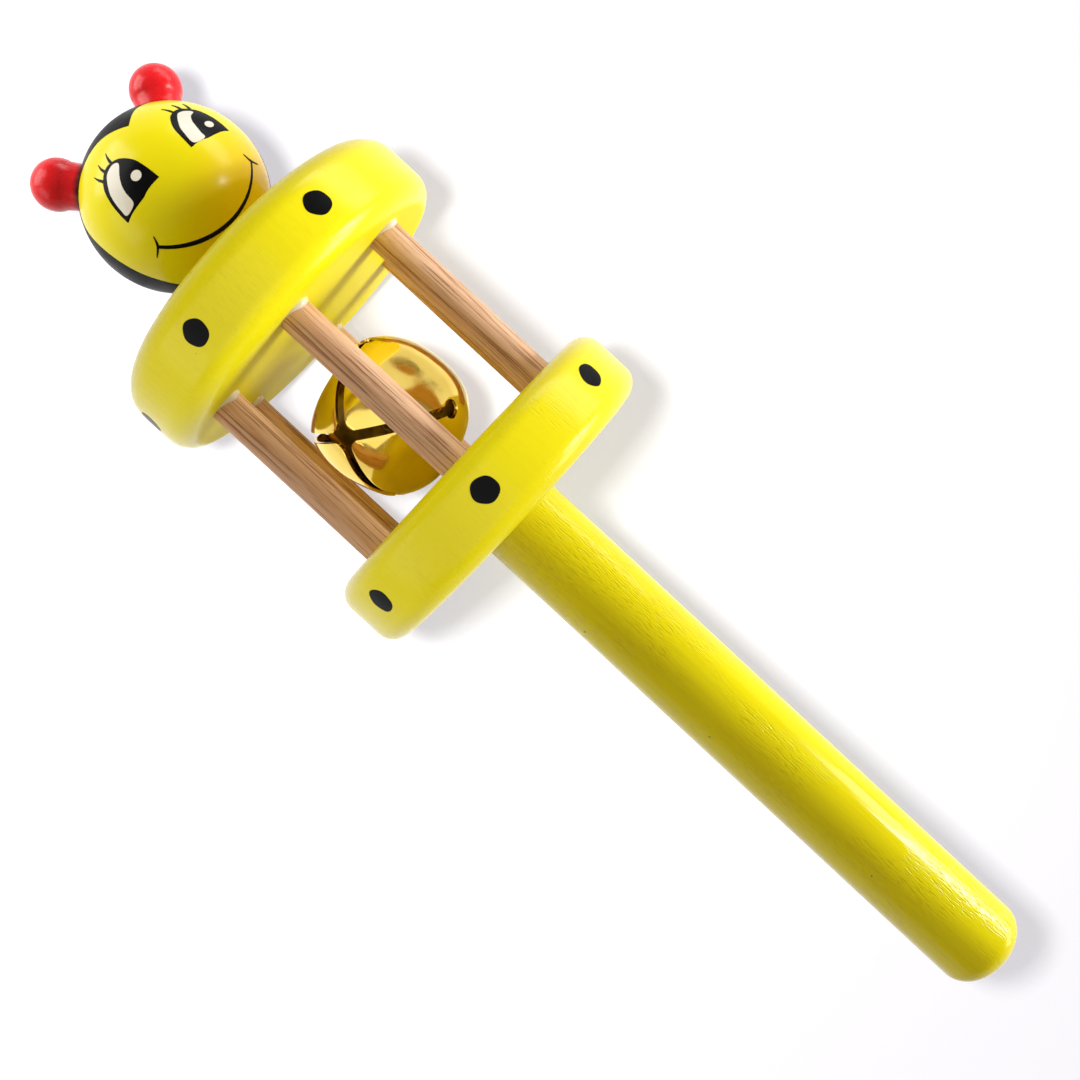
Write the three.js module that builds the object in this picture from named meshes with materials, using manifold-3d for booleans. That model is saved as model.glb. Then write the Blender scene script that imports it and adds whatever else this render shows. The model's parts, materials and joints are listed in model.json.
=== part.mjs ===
// Bell rattle for a small child: a dowel handle, two turned discs held apart by a cage of bars,
// a ball head with two antennae, and a jingle bell that lies loose inside the cage.
// Millimetres. +X runs along the rattle towards the head, +Z is up, and the discs rest on z = 0.
import * as THREE from 'three';
import { mergeVertices } from 'three/addons/utils/BufferGeometryUtils.js';
import Module from 'manifold-3d';

// Handle
const handleDiameter = 15;
const handleReach = 106.2;
const handleEndRounding = 4.1;
const handleEndFlat = 4;
const handleSocketDepth = 8.5;

// Discs at the two ends of the cage
const discRimWall = 5.9;
const lowerDiscThickness = 12.7;
const upperDiscThickness = 14.5;
const lowerDiscRounding = 3.4;
const upperDiscCageRounding = 3.8;
const upperDiscHeadRounding = 5;

// Bars of the cage, and the room that the cage leaves round the bell
const barCount = 6;
const barDiameter = 5.6;
const bellSidePlay = 4.55;
const bellTravel = 5.1;
const barSocketDepth = 7;
const barChamfer = 0.5;

// Head, its neck peg and its antennae, with angles in degrees
const headDiameter = 30.8;
const headStandOff = 0.7;
const headTurn = 10;
const neckPegDiameter = 8;
const neckPegInHead = 8;
const neckPegInDisc = 7;
const neckPegChamfer = 0.8;
const antennaBallDiameter = 8.8;
const antennaStandOff = 4.3;
const antennaSpread = 36;
const antennaLeanBack = 12;
const antennaCollarDiameter = 7.9;
const antennaSeatSink = 0.1;
const antennaTenonDiameter = 4;
const antennaTenonLength = 6;

// Jingle bell, with its attitude in the cage in degrees
const bellDiameter = 26.9;
const bellWall = 0.6;
const bellSlotWidth = 1.8;
const bellKeyholeDiameter = 3.4;
const bellKeyholeRise = 1.4;
const bellPetalHollow = 1.1;
const bellPetalTipRadius = 1.5;
const bellTilt = 33;
const bellHeading = 72;
const bellSpin = 71;
const loopEyeDiameter = 3.4;
const loopStripThickness = 0.9;
const loopStripWidth = 2.6;
const loopStemHeight = 0.8;
const loopTabReach = 2.4;
const loopTurn = 45;
const pelletDiameter = 6;

// Clearances
const glueGap = 0.3;
const restGap = 0.3;

// Facets round each turned piece, and steps in each quarter of a rounding
const discSides = 48;
const handleSides = 32;
const barSides = 20;
const headSides = 36;
const pegSides = 24;
const bellSides = 40;
const pelletSides = 16;
const edgeSteps = 2;
const ballSteps = 8;
const bellSteps = 8;
const loopSteps = 10;

// How far a cutting tool runs past the surface that it opens
const cutOvershoot = 1;

// Reach of the bars and the discs from the axis
const barReach = bellDiameter / 2 + bellSidePlay + barDiameter / 2;
const discRadius = barReach + barDiameter / 2 + discRimWall;

// Stations along the rattle, measured from the end of the handle
const cageLength = bellDiameter + bellTravel + 2 * restGap;
const lowerDiscStart = handleReach;
const lowerDiscEnd = lowerDiscStart + lowerDiscThickness;
const upperDiscStart = lowerDiscEnd + cageLength;
const upperDiscEnd = upperDiscStart + upperDiscThickness;
const headRadius = headDiameter / 2;
const headCentre = upperDiscEnd + headStandOff + headRadius;

const xAxis = new THREE.Vector3(1, 0, 0);
const yAxis = new THREE.Vector3(0, 1, 0);
const zAxis = new THREE.Vector3(0, 0, 1);
const radians = THREE.MathUtils.degToRad;
const moved = (x, y, z) => new THREE.Matrix4().makeTranslation(x, y, z);

const wasm = await Module();
wasm.setup();

// A closed geometry as a solid that can be joined and cut
function solid(geometry) {
  geometry.deleteAttribute('normal');
  geometry.deleteAttribute('uv');
  const merged = mergeVertices(geometry);
  const corners = merged.index.array;
  const triangles = [];
  for (let i = 0; i < corners.length; i += 3) {
    const [a, b, c] = corners.slice(i, i + 3);
    if (a !== b && b !== c && c !== a) {
      triangles.push(a, b, c);
    }
  }
  return new wasm.Manifold(new wasm.Mesh({
    numProp: 3,
    vertProperties: Float32Array.from(merged.attributes.position.array),
    triVerts: Uint32Array.from(triangles),
  }));
}

// A solid as a named mesh
function piece(name, body, material) {
  const { vertProperties, triVerts } = body.getMesh();
  const geometry = new THREE.BufferGeometry();
  geometry.setAttribute('position', new THREE.BufferAttribute(vertProperties, 3));
  geometry.setIndex(new THREE.BufferAttribute(triVerts, 1));
  geometry.computeVertexNormals();
  const mesh = new THREE.Mesh(geometry, material);
  mesh.name = name;
  return mesh;
}

// A solid of revolution about X; the profile holds (radius, distance along X), with a flat facet below
function turned(profile, sides, steps, place = new THREE.Matrix4()) {
  const lathe = new THREE.LatheGeometry(profile.getPoints(steps), sides, Math.PI / sides);
  return solid(lathe.rotateZ(-Math.PI / 2).applyMatrix4(place));
}

// A plain round rod along X from one station to another
function rod(radius, start, end, sides, place) {
  const profile = new THREE.Path();
  profile.moveTo(0, start);
  profile.lineTo(radius, start);
  profile.lineTo(radius, end);
  profile.lineTo(0, end);
  return turned(profile, sides, 1, place);
}

// A rod whose two ends are chamfered
function chamferedRod(radius, start, end, chamfer, sides, place) {
  const profile = new THREE.Path();
  profile.moveTo(0, start);
  profile.lineTo(radius - chamfer, start);
  profile.lineTo(radius, start + chamfer);
  profile.lineTo(radius, end - chamfer);
  profile.lineTo(radius - chamfer, end);
  profile.lineTo(0, end);
  return turned(profile, sides, 1, place);
}

// A ball about the origin
function ball(radius, sides, steps, place) {
  const profile = new THREE.Path();
  profile.absarc(0, 0, radius, -Math.PI / 2, Math.PI / 2, false);
  return turned(profile, sides, steps, place);
}

// A painted or plain surface
function finish(color, roughness, metalness) {
  return new THREE.MeshStandardMaterial({ color, roughness, metalness });
}

const yellowEnamel = () => finish(0xe8d20a, 0.3, 0);
const redEnamel = () => finish(0xd01520, 0.3, 0);
const bamboo = () => finish(0xb98a58, 0.6, 0);
const bareWood = () => finish(0xd8b98a, 0.7, 0);
const goldPlate = () => finish(0xd2a820, 0.15, 1);
const steel = () => finish(0x9a9a98, 0.3, 1);

// Where each bar stands round the axis, starting at the top
function barPlaces() {
  return Array.from({ length: barCount }, (unused, i) => {
    const angle = (2 * Math.PI * i) / barCount;
    return moved(0, barReach * Math.sin(angle), barReach * Math.cos(angle));
  });
}

// Handle: a dowel with a rounded free end, glued into the lower disc
function makeHandle() {
  const radius = handleDiameter / 2;
  const flat = handleEndFlat / 2;
  const end = lowerDiscStart + handleSocketDepth - glueGap;
  const profile = new THREE.Path();
  profile.moveTo(0, 0);
  profile.lineTo(flat, 0);
  profile.absellipse(flat, handleEndRounding, radius - flat, handleEndRounding, -Math.PI / 2, 0, false);
  profile.lineTo(radius, end);
  profile.lineTo(0, end);
  return piece('handle', turned(profile, handleSides, 2 * edgeSteps), yellowEnamel());
}

// A turned disc with its own rounding on each face
function discBlank(start, end, startRounding, endRounding) {
  const startFlat = discRadius - startRounding;
  const endFlat = discRadius - endRounding;
  const profile = new THREE.Path();
  profile.moveTo(0, start);
  profile.lineTo(startFlat, start);
  profile.absarc(startFlat, start + startRounding, startRounding, -Math.PI / 2, 0, false);
  profile.absarc(endFlat, end - endRounding, endRounding, 0, Math.PI / 2, false);
  profile.lineTo(0, end);
  return turned(profile, discSides, edgeSteps);
}

// Blind holes for the bars, from a disc's cage face into the wood
function barSockets(face, floor) {
  const radius = barDiameter / 2 + glueGap;
  const start = Math.min(face, floor);
  const end = Math.max(face, floor);
  return barPlaces().map((place) => rod(radius, start, end, barSides, place));
}

function makeLowerDisc() {
  let body = discBlank(lowerDiscStart, lowerDiscEnd, lowerDiscRounding, lowerDiscRounding);
  const handleHole = handleDiameter / 2 + glueGap;
  const holeFloor = lowerDiscStart + handleSocketDepth;
  body = body.subtract(rod(handleHole, lowerDiscStart - cutOvershoot, holeFloor, handleSides));
  barSockets(lowerDiscEnd + cutOvershoot, lowerDiscEnd - barSocketDepth).forEach((socket) => {
    body = body.subtract(socket);
  });
  return piece('lower_disc', body, yellowEnamel());
}

function makeUpperDisc() {
  let body = discBlank(upperDiscStart, upperDiscEnd, upperDiscCageRounding, upperDiscHeadRounding);
  const pegHole = neckPegDiameter / 2 + glueGap;
  body = body.subtract(rod(pegHole, upperDiscEnd - neckPegInDisc, upperDiscEnd + cutOvershoot, pegSides));
  barSockets(upperDiscStart - cutOvershoot, upperDiscStart + barSocketDepth).forEach((socket) => {
    body = body.subtract(socket);
  });
  return piece('upper_disc', body, yellowEnamel());
}

// Bars: dowels that end just above the floors of their sockets
function makeBars() {
  const start = lowerDiscEnd - barSocketDepth + glueGap;
  const end = upperDiscStart + barSocketDepth - glueGap;
  return barPlaces().map((place, i) => {
    const body = chamferedRod(barDiameter / 2, start, end, barChamfer, barSides, place);
    return piece(`bar_${i + 1}`, body, bamboo());
  });
}

// Neck peg: a dowel half in the upper disc and half in the head
function makeNeckPeg() {
  const start = upperDiscEnd - neckPegInDisc + glueGap;
  const end = upperDiscEnd + headStandOff + neckPegInHead - glueGap;
  const body = chamferedRod(neckPegDiameter / 2, start, end, neckPegChamfer, pegSides);
  return piece('neck_peg', body, bareWood());
}

// Where an antenna leaves the head, seen from the head's centre; side is +1 or -1 across the face
function antennaTurn(side) {
  const spread = radians(antennaSpread);
  const lean = radians(antennaLeanBack);
  const across = side * Math.sin(spread) * Math.cos(lean);
  const direction = new THREE.Vector3(Math.cos(spread), across, -Math.sin(spread) * Math.sin(lean));
  return new THREE.Quaternion().setFromUnitVectors(xAxis, direction);
}

// The seat's rim lies just under the ball's surface
const antennaSeatRadius = antennaCollarDiameter / 2 + glueGap;
const antennaSeat = Math.sqrt(headRadius ** 2 - antennaSeatRadius ** 2) - antennaSeatSink;

// Head: a ball drilled for the neck peg, with a flat-bottomed seat and a hole for each antenna
function makeHead() {
  let body = ball(headRadius, headSides, ballSteps);
  const pegHole = neckPegDiameter / 2 + glueGap;
  body = body.subtract(rod(pegHole, -headRadius - cutOvershoot, neckPegInHead - headRadius, pegSides));
  [1, -1].forEach((side) => {
    const place = new THREE.Matrix4().makeRotationFromQuaternion(antennaTurn(side));
    const tenonHole = antennaTenonDiameter / 2 + glueGap;
    const mouth = headRadius + cutOvershoot;
    body = body.subtract(rod(antennaSeatRadius, antennaSeat, mouth, pegSides, place));
    body = body.subtract(rod(tenonHole, antennaSeat - antennaTenonLength, mouth, pegSides, place));
  });
  return piece('head', body, yellowEnamel());
}

// Antenna: a ball, a collar and a tenon turned from one piece of wood
function makeAntenna(name, side) {
  const ballRadius = antennaBallDiameter / 2;
  const collarRadius = antennaCollarDiameter / 2;
  const tenonRadius = antennaTenonDiameter / 2;
  const collarFoot = antennaSeat + glueGap;
  const tenonEnd = antennaSeat - antennaTenonLength + glueGap;
  const ballStart = -Math.acos(collarRadius / ballRadius);
  const profile = new THREE.Path();
  profile.moveTo(0, tenonEnd);
  profile.lineTo(tenonRadius, tenonEnd);
  profile.lineTo(tenonRadius, collarFoot);
  profile.lineTo(collarRadius, collarFoot);
  profile.absarc(0, headRadius + antennaStandOff, ballRadius, ballStart, Math.PI / 2, false);
  const mesh = piece(name, turned(profile, pegSides, Math.ceil(ballSteps / 2)), redEnamel());
  mesh.quaternion.copy(antennaTurn(side));
  return mesh;
}

// Cross-shaped outline of the bell's four slots, with the tips of the petals rounded
function slotCross() {
  const half = bellSlotWidth / 2;
  const reach = bellDiameter / 2 + cutOvershoot;
  const tip = half + bellPetalTipRadius;
  const cross = new THREE.Shape();
  for (let quarter = 0; quarter < 4; quarter += 1) {
    const turn = (quarter * Math.PI) / 2;
    const corner = new THREE.Vector2(reach, -half).rotateAround(new THREE.Vector2(), turn);
    const nextCorner = new THREE.Vector2(reach, half).rotateAround(new THREE.Vector2(), turn);
    const centre = new THREE.Vector2(tip, tip).rotateAround(new THREE.Vector2(), turn);
    if (quarter === 0) {
      cross.moveTo(corner.x, corner.y);
    } else {
      cross.lineTo(corner.x, corner.y);
    }
    cross.lineTo(nextCorner.x, nextCorner.y);
    cross.absarc(centre.x, centre.y, bellPetalTipRadius, turn - Math.PI / 2, turn - Math.PI, true);
  }
  cross.closePath();
  return cross;
}

// A ball about the origin that is drawn in midway between the slots, where the petals are folded flatter
function foldedBall(inset) {
  const radius = bellDiameter / 2 - inset;
  const upright = new THREE.Matrix4().makeRotationY(-Math.PI / 2);
  return ball(radius, bellSides, bellSteps, upright).warp((corner) => {
    const [x, y] = corner;
    const level = Math.hypot(x, y) / radius;
    const between = Math.sin(2 * Math.atan2(y, x));
    const share = 1 - (bellPetalHollow * (level * between) ** 2) / radius;
    corner.forEach((value, i) => {
      corner[i] = value * share;
    });
  });
}

// The bell's own frame: slots meet at the +Z pole, the loop stands on the -Z pole
function makeBellShell() {
  const radius = bellDiameter / 2;
  const reach = radius + cutOvershoot;
  let body = foldedBall(0).subtract(foldedBall(bellWall));
  const cross = { depth: reach, bevelEnabled: false, curveSegments: 2 * edgeSteps };
  body = body.subtract(solid(new THREE.ExtrudeGeometry(slotCross(), cross)));
  const keyhole = bellKeyholeDiameter / 2;
  [0, Math.PI / 2].forEach((turn) => {
    const place = new THREE.Matrix4().makeRotationZ(turn).setPosition(0, 0, bellKeyholeRise);
    body = body.subtract(rod(keyhole, -reach, reach, barSides, place));
  });
  const stemLength = 2 * (loopStripThickness + glueGap);
  const stemWidth = loopStripWidth + 2 * glueGap;
  const stemHole = new THREE.BoxGeometry(stemLength, stemWidth, radius);
  stemHole.translate(0, 0, -radius);
  stemHole.rotateZ(radians(loopTurn));
  body = body.subtract(solid(stemHole));
  return piece('bell_shell', body, goldPlate());
}

// Loop: a strip folded double, whose ends pass through the shell and spread out inside it
function makeBellLoop() {
  const shellRadius = bellDiameter / 2;
  const stem = loopStripThickness;
  const eye = loopEyeDiameter / 2;
  const outer = eye + loopStripThickness;
  const eyeCentre = shellRadius + loopStemHeight + eye;
  const tabOuter = shellRadius - bellWall - glueGap;
  const tabInner = tabOuter - loopStripThickness;
  const stemAngle = Math.asin(stem / outer);
  const tabAngle = loopTabReach / tabOuter;
  const stemFoot = Math.asin(stem / tabOuter);
  const up = Math.PI / 2;
  const outline = new THREE.Shape();
  outline.absarc(0, eyeCentre, outer, stemAngle - up, 3 * up - stemAngle, false);
  outline.absarc(0, 0, tabOuter, up + stemFoot, up + tabAngle, false);
  outline.absarc(0, 0, tabInner, up + tabAngle, up - tabAngle, true);
  outline.absarc(0, 0, tabOuter, up - tabAngle, up - stemFoot, false);
  outline.closePath();
  const hole = new THREE.Path();
  hole.absarc(0, eyeCentre, eye, 0, 2 * Math.PI, true);
  outline.holes.push(hole);
  const strip = new THREE.ExtrudeGeometry(outline, {
    depth: loopStripWidth,
    bevelEnabled: false,
    curveSegments: loopSteps,
  });
  strip.translate(0, 0, -loopStripWidth / 2);
  strip.rotateX(-Math.PI / 2);
  strip.rotateZ(radians(loopTurn));
  return piece('bell_loop', solid(strip), goldPlate());
}

// Where the bell's centre lies: against the lower disc, in the trough of the two bars below it
function bellCentre() {
  const touch = bellDiameter / 2 + barDiameter / 2 + restGap;
  const halfStep = Math.PI / barCount;
  const halfGap = barReach * Math.sin(halfStep);
  const drop = barReach * Math.cos(halfStep) - Math.sqrt(touch ** 2 - halfGap ** 2);
  const lowBar = Math.floor((barCount - 1) / 2);
  const troughAngle = (2 * lowBar + 1) * halfStep;
  const x = lowerDiscEnd + bellDiameter / 2 + restGap;
  return new THREE.Vector3(x, drop * Math.sin(troughAngle), drop * Math.cos(troughAngle));
}

function makeBell() {
  const turn = new THREE.Quaternion().setFromAxisAngle(zAxis, radians(bellHeading));
  turn.multiply(new THREE.Quaternion().setFromAxisAngle(yAxis, radians(bellTilt)));
  turn.multiply(new THREE.Quaternion().setFromAxisAngle(zAxis, radians(bellSpin)));
  const bell = new THREE.Group();
  bell.add(makeBellShell(), makeBellLoop());
  bell.quaternion.copy(turn);
  bell.position.copy(bellCentre());
  return bell;
}

// Pellet: a loose ball at the lowest place inside the bell, clear of the petals as it rolls round
function makePellet() {
  const radius = pelletDiameter / 2;
  const drawnIn = bellPetalHollow * Math.sin(radians(bellTilt)) ** 2;
  const mesh = piece('bell_pellet', ball(radius, pelletSides, Math.ceil(ballSteps / 2)), steel());
  mesh.position.copy(bellCentre());
  mesh.position.z -= bellDiameter / 2 - bellWall - drawnIn - radius - restGap;
  return mesh;
}

function makeHeadGroup() {
  const head = new THREE.Group();
  head.add(makeHead(), makeAntenna('antenna_left', 1), makeAntenna('antenna_right', -1));
  head.position.x = headCentre;
  head.rotation.x = radians(headTurn);
  return head;
}

const rattle = new THREE.Group();
rattle.add(makeHandle(), makeLowerDisc(), makeUpperDisc(), ...makeBars());
rattle.add(makeNeckPeg(), makeHeadGroup(), makeBell(), makePellet());

// The origin is under the middle of the rattle, on the surface that it lies on
const box = new THREE.Box3().setFromObject(rattle, true);
const middle = box.getCenter(new THREE.Vector3());
rattle.position.set(-middle.x, -middle.y, -box.min.z);

export default rattle;
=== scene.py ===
# Looks of the bell rattle: smooth turned and painted wood, bamboo bars and a pressed, gold-plated bell.
# Metres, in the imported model's own frame: +X runs towards the head, +Z is up.
import json
import math

import bmesh
import bpy
from mathutils import Matrix, Vector
from mathutils.geometry import delaunay_2d_cdt

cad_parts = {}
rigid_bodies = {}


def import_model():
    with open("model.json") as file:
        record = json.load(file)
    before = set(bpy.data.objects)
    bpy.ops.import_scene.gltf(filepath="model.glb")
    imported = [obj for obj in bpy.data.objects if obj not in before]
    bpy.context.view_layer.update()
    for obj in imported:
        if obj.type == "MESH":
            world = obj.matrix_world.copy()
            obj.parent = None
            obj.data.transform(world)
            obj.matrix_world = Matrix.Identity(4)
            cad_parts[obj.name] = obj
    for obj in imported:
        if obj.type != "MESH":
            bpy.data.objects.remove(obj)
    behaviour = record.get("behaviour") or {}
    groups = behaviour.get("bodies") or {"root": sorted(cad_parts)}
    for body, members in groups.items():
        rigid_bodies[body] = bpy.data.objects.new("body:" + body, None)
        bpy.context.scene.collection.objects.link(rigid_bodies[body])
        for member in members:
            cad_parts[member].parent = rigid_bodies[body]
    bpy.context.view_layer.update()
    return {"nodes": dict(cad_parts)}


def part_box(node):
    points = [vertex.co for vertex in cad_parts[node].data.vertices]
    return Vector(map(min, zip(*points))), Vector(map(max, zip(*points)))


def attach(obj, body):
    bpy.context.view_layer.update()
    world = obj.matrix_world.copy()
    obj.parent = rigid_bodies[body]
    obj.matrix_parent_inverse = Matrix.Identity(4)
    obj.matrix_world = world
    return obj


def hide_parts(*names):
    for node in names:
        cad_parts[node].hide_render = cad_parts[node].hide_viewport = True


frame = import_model()

MM = 0.001

# Camera: the photograph's view, looking down on the rattle as it lies on a table
CAMERA_PLACE = Vector((14.65, -6.39, 244.84)) * MM
CAMERA_LEAN = math.radians(1.7)
CAMERA_ROLL = math.radians(42.84)
CAMERA_LENS = 43.97
CAMERA_SHIFT = (0.0615, -0.0611)

# Turned wood
HANDLE_END_FLAT = 2 * MM
HANDLE_END_ROUNDING = 4.1 * MM
LOWER_DISC_ROUNDINGS = (3.4 * MM, 3.4 * MM)
UPPER_DISC_ROUNDINGS = (3.8 * MM, 5 * MM)
DISC_FACE_RADIUS = 26 * MM
DISC_FACE_DULLNESS = 0.32
EDGE_SUPPORT = 0.2 * MM
BAR_CHAMFER = 0.5 * MM
NECK_PEG_CHAMFER = 0.8 * MM
BAR_SOCKET_DEPTH = 7 * MM
HANDLE_SOCKET_DEPTH = 8.5 * MM
SOCKET_PLAY = 0.08 * MM
DRILL_OVERSHOOT = 1 * MM
GLUE_GAP = 0.01 * MM
GLUE_BEAD_WIDTH = 0.75 * MM
GLUE_BEAD_HEIGHT = 0.9 * MM
GLUE_BEAD_THINNEST = 0.05
GLUE_RUN_SHARPNESS = 8
# The glue runs to the side the lamps light, so that its pale colour also gives a painted highlight there
GLUE_LEAN_TO_LIGHT = math.radians(44)

# Head and antennae
HEAD_RADIUS = 15.4 * MM
FACE_ROLL = math.radians(17)
# Painted shade and bounced light: the head's enamel darkens to orange towards the disc, along this way
NECK_SHADE_WAY = Vector((-0.86, -0.51, 0))
NECK_SHADE_START = 4 * MM
NECK_SHADE_END = 13 * MM
NECK_PEG_IN_HEAD = 8 * MM
ANTENNA_BALL_RADIUS = 4.4 * MM
ANTENNA_BALL_REACH = 19.7 * MM
ANTENNA_COLLAR_RADIUS = 3.95 * MM
ANTENNA_WAIST = 0.12 * MM
ANTENNA_FOOT = 14.8 * MM

# Rim dots, painted by hand and so not quite evenly spaced, with their angles from the top in degrees
DOT_RADIUS = 2.08 * MM
DOT_OFFSET = 0.6 * MM
LOWER_DOTS = [-0.6, 50.8, 102.3, 153.7, 205.1, 256.5, 308.0]
UPPER_DOTS = [-28.6, 22.8, 74.3, 123, 170, 220, 269]

# Bell
BELL_RADIUS = 13.45 * MM
BELL_WALL = 0.6 * MM
BELL_SLOT_HALF = 0.85 * MM
BELL_PETAL_TIP = 1.5 * MM
BELL_KEYHOLE = (1.65 * MM, 1.6 * MM)
BELL_KEYHOLE_RISE = 1.4 * MM
BELL_RIM_ROUNDING = 0.14 * MM
BELL_LOOP_HOLE = 1.75 * MM
BELL_EDGE = math.radians(112)
BELL_SIDES = 160
BELL_TURN = [math.radians(a) for a in (72, 33, 71)]
BELL_HOLLOW = 0.85 * MM
PETAL_FLAT = 1.35 * MM
PETAL_FLAT_MIDDLE = math.radians(66)
PETAL_FLAT_HALF = math.radians(33)
LOOP_EYE_RADIUS = 1.7 * MM
LOOP_STRIP = 0.9 * MM
LOOP_WIDTH = 2.6 * MM
LOOP_RIM_ROUNDING = 0.2 * MM
LOOP_STEM = 0.8 * MM
LOOP_FOOT_GAP = 0.3 * MM
LOOP_FOOT_REACH = 2.4 * MM
LOOP_TURN = math.radians(45)

# Paint: the height of one coat, and the step between lines that cross
PAINT = 0.04 * MM
PAINT_STEP = 0.004 * MM
TICK_WIDTHS = [0.12 * MM, 0.5 * MM, 0.15 * MM]
LASH_WIDTHS = [0.6 * MM, 0.42 * MM, 0.08 * MM]
# Where the red turns black next to the head: overspray, and painted shade at the joint
OVERSPRAY_AND_SHADE_START = 15.9 * MM
OVERSPRAY_AND_SHADE_END = 16.8 * MM

# Grid inside bent sheets
PAINT_SPACING = 0.5 * MM
WHITE_SPACING = 0.4 * MM
BACK_SPACING = 0.8 * MM
BELL_SPACING = 0.6 * MM
LOOP_SPACING = 0.7 * MM

# Stage
FLOOR_RADIUS = 1.6
FLOOR_BEND = 0.6
FLOOR_MIDDLE = 0.02
PAPER_GREY = 0.55
GLOW_NEAR = 0.1
GLOW_FAR = 0.4
NEAR_GLOW = (0.475, 0.49, 0.575, 1)
FAR_GLOW = (0.8, 0.8, 0.8, 1)
SKY_LIGHT = 0.35
SKY_TINT = (1.0, 0.83, 0.64, 1)
LAMP_TARGET = (0, 0, 0.03)

rattle_pieces = bpy.data.collections.new("rattle pieces")
bpy.context.scene.collection.children.link(rattle_pieces)
stage_pieces = bpy.data.collections.new("stage pieces")
bpy.context.scene.collection.children.link(stage_pieces)


def middle(node):
    low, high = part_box(node)
    return (low + high) / 2


def radius_of(node):
    """Half the width of a round node that lies along X"""
    low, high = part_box(node)
    return (high.y - low.y) / 2


AXIS = Matrix.Translation((0, middle("handle").y, middle("handle").z))
BARS = range(1, 7)
BAR_RADIUS = radius_of("bar_1")
PEG_HOLE = radius_of("neck_peg") + SOCKET_PLAY
ANTENNA_HOLE = ANTENNA_COLLAR_RADIUS + SOCKET_PLAY


# Meshes

def new_piece(name, verts, faces, material):
    mesh = bpy.data.meshes.new(name)
    mesh.from_pydata(verts, [], faces)
    mesh.materials.append(material)
    obj = bpy.data.objects.new(name, mesh)
    rattle_pieces.objects.link(obj)
    smooth(obj)
    return obj


def smooth(obj, crease=35):
    obj.data.shade_smooth()
    obj.data.set_sharp_from_angle(angle=math.radians(crease))


def wear(obj, body, slot, *nodes):
    """Rides a piece on its body and stands for CAD nodes, which it hides; the slot is not used"""
    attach(obj, body)
    if nodes:
        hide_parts(*nodes)


def arc(centre, radii, start, end, steps):
    """Points (station, radius) round a corner, with angles from the outward direction to +X"""
    points = []
    for i in range(steps + 1):
        angle = math.radians(start + (end - start) * i / steps)
        points.append((centre[0] + radii[0] * math.sin(angle), centre[1] + radii[1] * math.cos(angle)))
    return points


def turned(name, profile, sides, material, place=AXIS):
    """A solid of revolution about X; the profile holds (station, radius), on the axis at both ends"""
    verts, faces, rings = [], [], []
    for station, radius in profile:
        count = sides if radius > 1e-7 else 1
        rings.append(range(len(verts), len(verts) + count))
        for i in range(count):
            angle = 2 * math.pi * i / sides
            verts.append(place @ Vector((station, radius * math.sin(angle), radius * math.cos(angle))))
    for low, high in zip(rings, rings[1:]):
        for i in range(sides):
            j = (i + 1) % sides
            if len(low) == 1:
                faces.append((low[0], high[i], high[j]))
            elif len(high) == 1:
                faces.append((low[i], high[0], low[j]))
            else:
                faces.append((low[i], high[i], high[j], low[j]))
    return new_piece(name, verts, faces, material)


def applied(obj):
    """Takes the modifiers into the mesh"""
    bpy.context.view_layer.update()
    evaluated = obj.evaluated_get(bpy.context.evaluated_depsgraph_get())
    mesh = bpy.data.meshes.new_from_object(evaluated)
    obj.modifiers.clear()
    obj.data = mesh
    mesh.name = obj.name


def drilled(obj, radius, start, end, place):
    """Cuts a round hole"""
    profile = [(start, 0), (start, radius), (end, radius), (end, 0)]
    cutter = turned("cutter", profile, 64, obj.data.materials[0], place)
    cut = obj.modifiers.new("cut", "BOOLEAN")
    cut.operation = "DIFFERENCE"
    cut.solver = "EXACT"
    cut.object = cutter
    applied(obj)
    bpy.data.objects.remove(cutter)
    smooth(obj)


def thicken(obj, thickness):
    """Gives a sheet its thickness, below its surface"""
    solid = obj.modifiers.new("thickness", "SOLIDIFY")
    solid.thickness = thickness
    solid.offset = -1


def soften(obj, width, crease):
    """Rounds the edges of a thick sheet"""
    rim = obj.modifiers.new("rim", "BEVEL")
    rim.width = width
    rim.segments = 2
    rim.limit_method = "ANGLE"
    rim.angle_limit = math.radians(50)
    applied(obj)
    smooth(obj, crease)


def inside(point, loops):
    """Even-odd test of a flat point against closed outlines"""
    hit = False
    for loop in loops:
        for a, b in zip(loop, loop[1:] + loop[:1]):
            if (a[1] > point[1]) != (b[1] > point[1]):
                if point[0] < a[0] + (point[1] - a[1]) * (b[0] - a[0]) / (b[1] - a[1]):
                    hit = not hit
    return hit


def spread(loops, spacing):
    """Points on a triangular grid inside the outlines, clear of their edges"""
    edge = [Vector(p) for loop in loops for p in loop]
    low = [min(p[i] for p in edge) for i in (0, 1)]
    high = [max(p[i] for p in edge) for i in (0, 1)]
    cells = {}
    for p in edge:
        cells.setdefault((round(p.x / spacing), round(p.y / spacing)), []).append(p)
    found = []
    row = 0
    y = low[1]
    while y < high[1]:
        x = low[0] + (row % 2) * spacing / 2
        while x < high[0]:
            p = Vector((x, y))
            near = [q for i in (-1, 0, 1) for j in (-1, 0, 1)
                    for q in cells.get((round(x / spacing) + i, round(y / spacing) + j), [])]
            if all((p - q).length > 0.5 * spacing for q in near) and inside(p, loops):
                found.append(p)
            x += spacing
        y += spacing * math.sqrt(0.75)
        row += 1
    return found


def sheet(loops, spacing):
    """Flat triangles that fill closed outlines"""
    points = [Vector(p) for loop in loops for p in loop]
    edges = []
    start = 0
    for loop in loops:
        count = len(loop)
        edges += [(start + i, start + (i + 1) % count) for i in range(count)]
        start += count
    points += spread(loops, spacing)
    scale = 1 / MM
    verts, _, faces, *_ = delaunay_2d_cdt([p * scale for p in points], edges, [], 0, 1e-5)
    verts = [v * MM for v in verts]
    kept = []
    for face in faces:
        centre = sum((verts[i] for i in face), Vector((0, 0))) / len(face)
        if inside(centre, loops):
            kept.append(tuple(face))
    return verts, kept


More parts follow.
